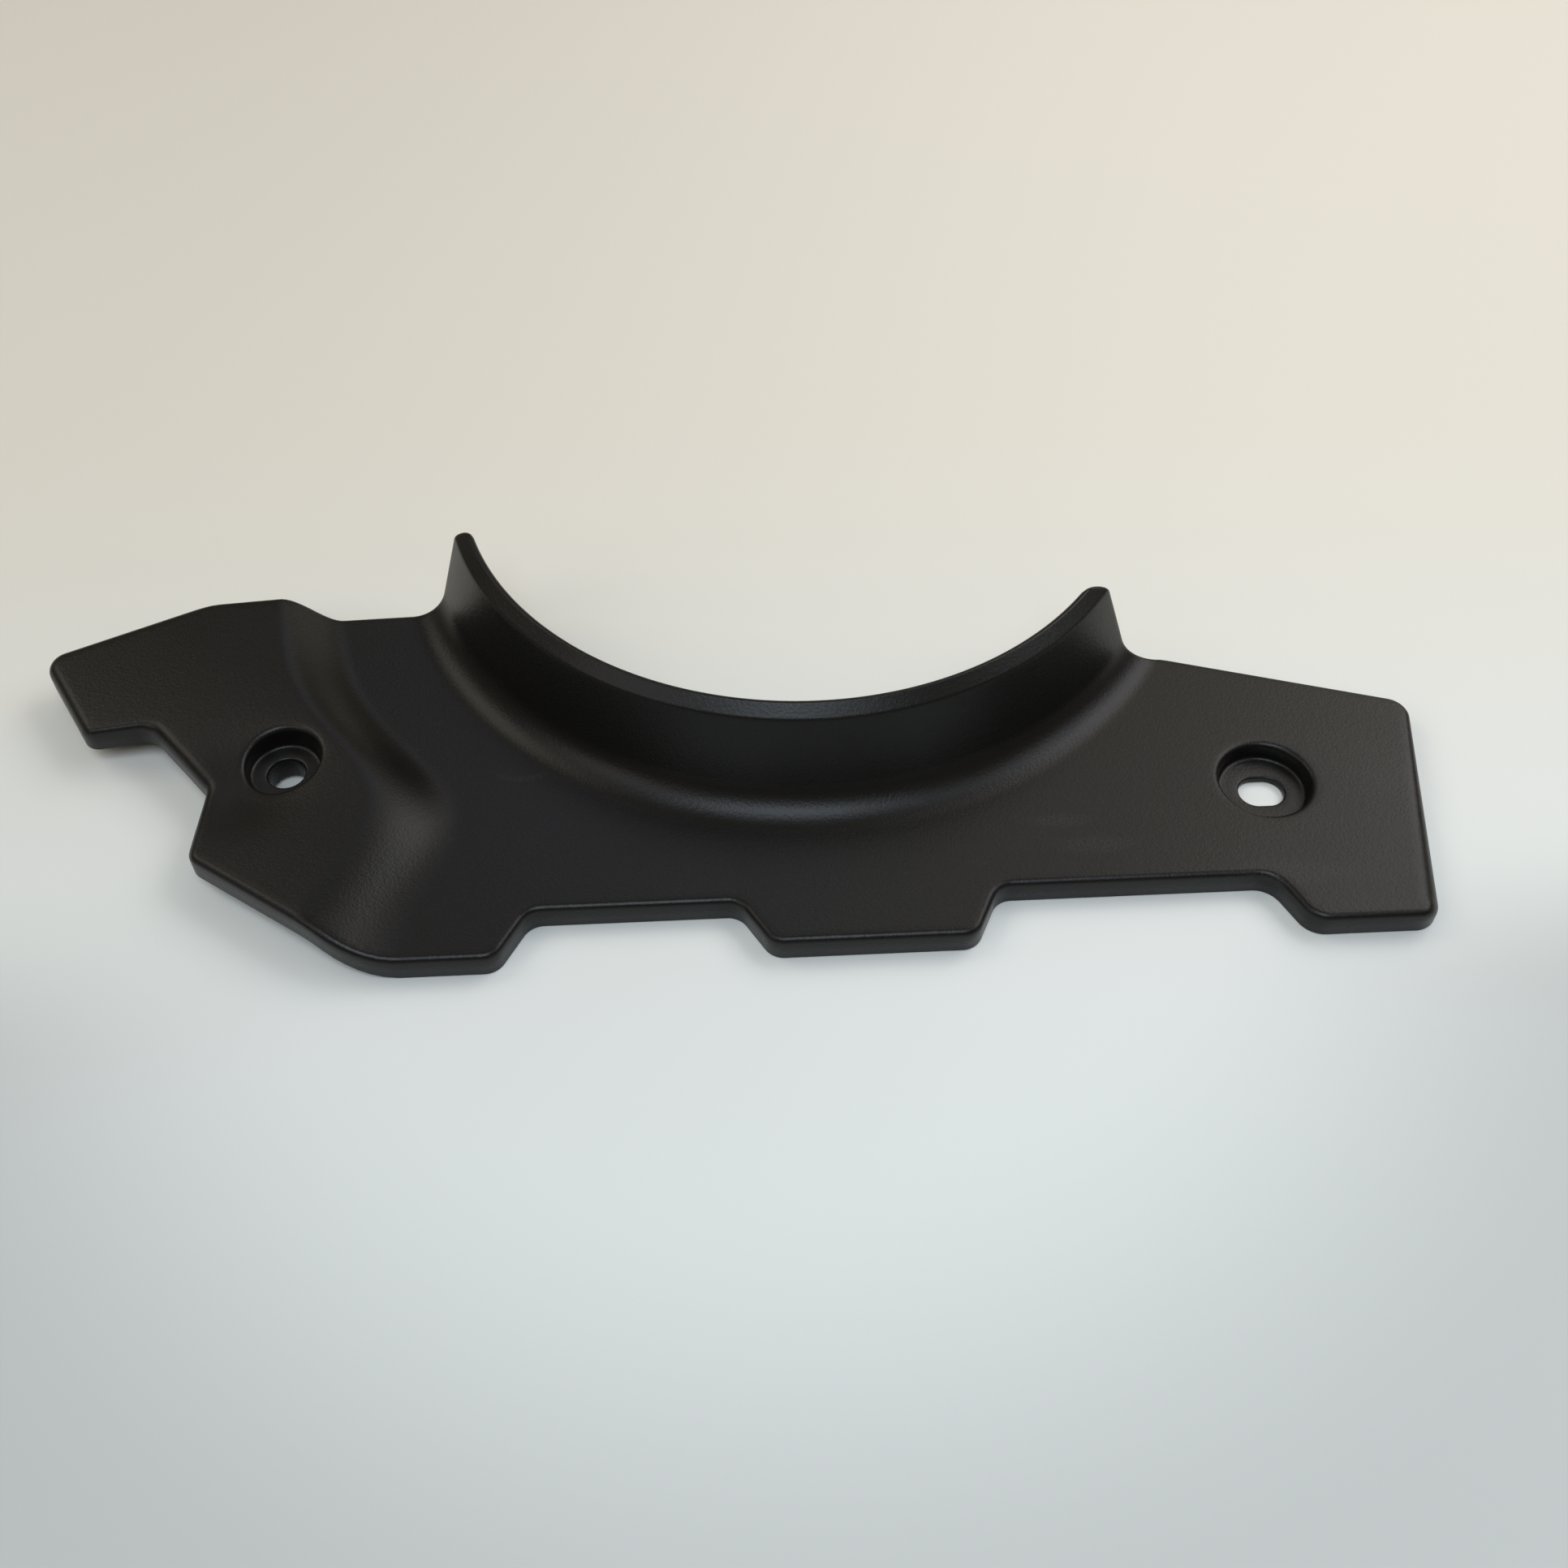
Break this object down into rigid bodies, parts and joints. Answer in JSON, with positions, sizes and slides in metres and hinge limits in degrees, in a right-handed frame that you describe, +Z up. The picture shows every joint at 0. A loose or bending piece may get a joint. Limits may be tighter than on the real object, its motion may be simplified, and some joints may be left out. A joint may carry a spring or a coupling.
{
  "type": "motorbike lower side panel",
  "caption": "Moulded lower side panel for a motorbike: flat plate with notched front tabs, a raised wing, recessed screw seats and a bell-mouth collar round an arc cut-out.",
  "frame": {"origin": "middle of the bounding box in plan, at the surface the panel lies on", "axes": "+X along the panel from the wing to the right tab, +Y from the tabs to the arc cut-out, +Z up out of the panel's face"},
  "size_m": [0.268, 0.0898, 0.0259],
  "materials": {
    "moulded_plastic": "fine moulded grain, satin, faintly scuffed"
  },
  "bodies": {
    "root": {"side_panel": "moulded_plastic"}
  },
  "joints": []
}
